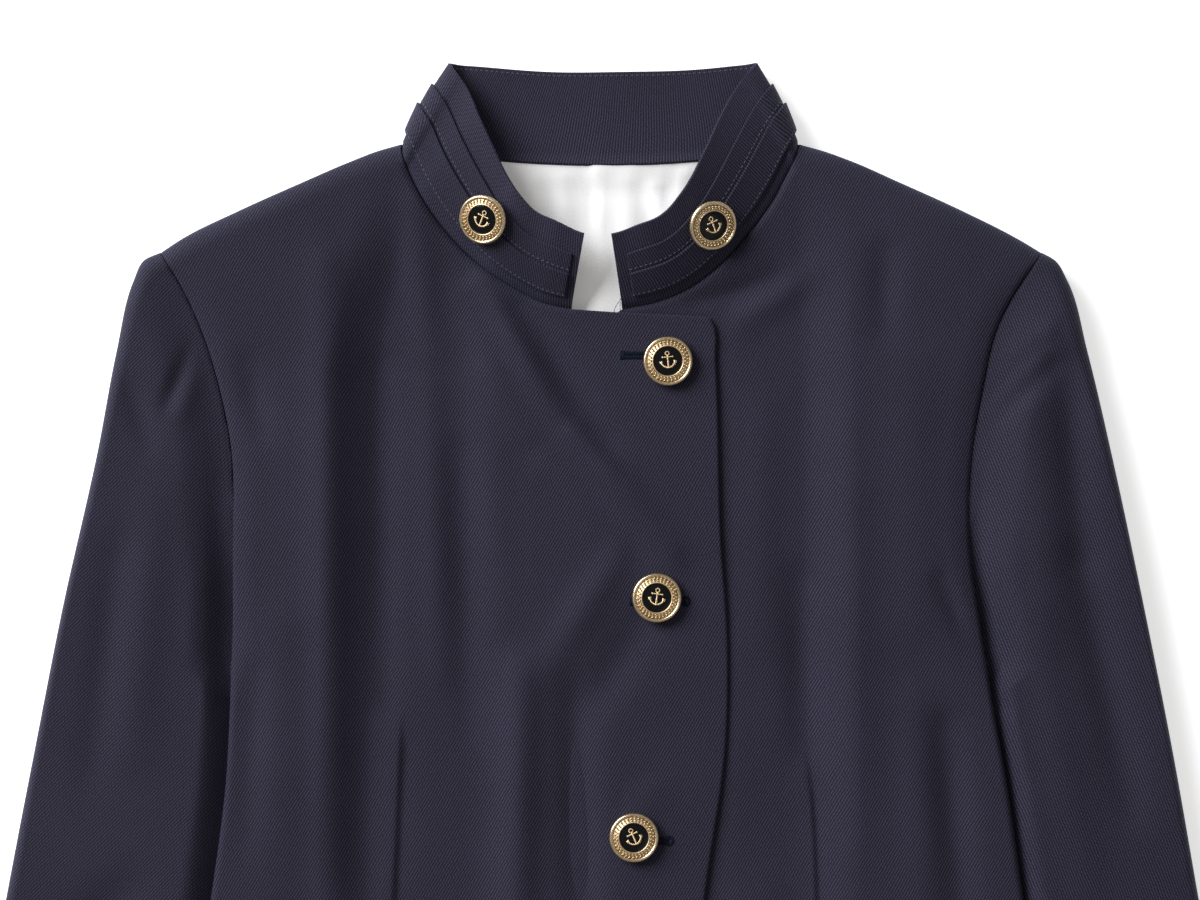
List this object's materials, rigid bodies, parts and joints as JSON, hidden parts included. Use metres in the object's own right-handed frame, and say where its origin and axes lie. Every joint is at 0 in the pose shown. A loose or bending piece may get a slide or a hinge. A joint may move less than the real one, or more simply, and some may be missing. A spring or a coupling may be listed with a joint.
{
  "type": "stand-collar blazer laid flat",
  "caption": "Navy wool blazer with a banded stand collar and domed metal buttons, laid flat on its back with the front closed, neck and cuffs open.",
  "frame": {"origin": "middle of the outline seen from above, at the underside that rests on the surface", "axes": "+Y up the garment towards the collar, +X towards the wearer's left, +Z out of the front of the garment, away from the surface"},
  "size_m": [0.607, 0.6536, 0.0255],
  "materials": {
    "twill_body": "navy wool twill, matt with a faint nap",
    "twill_sleeve": "navy wool twill, matt with a faint nap",
    "twill_collar": "navy wool twill over a firm interlining",
    "lining": "white fine twill lining with a soft shine",
    "button_metal": "pale gold metal, smooth and beaded rings",
    "button_enamel": "black enamel, glossy"
  },
  "bodies": {
    "root": {"back": "twill_body", "front_right": "twill_body", "front_left": "twill_body", "sleeve_right": "twill_sleeve", "sleeve_left": "twill_sleeve", "collar_band": "twill_collar", "collar_strip_upper": "twill_collar", "collar_strip_lower": "twill_collar", "back_lining": "lining", "button_front_1_rim": "button_metal", "button_front_1_enamel": "button_enamel", "button_front_2_rim": "button_metal", "button_front_2_enamel": "button_enamel", "button_front_3_rim": "button_metal", "button_front_3_enamel": "button_enamel", "button_front_4_rim": "button_metal", "button_front_4_enamel": "button_enamel", "button_front_5_rim": "button_metal", "button_front_5_enamel": "button_enamel", "button_collar_right_rim": "button_metal", "button_collar_right_enamel": "button_enamel", "button_collar_left_rim": "button_metal", "button_collar_left_enamel": "button_enamel"}
  },
  "joints": []
}
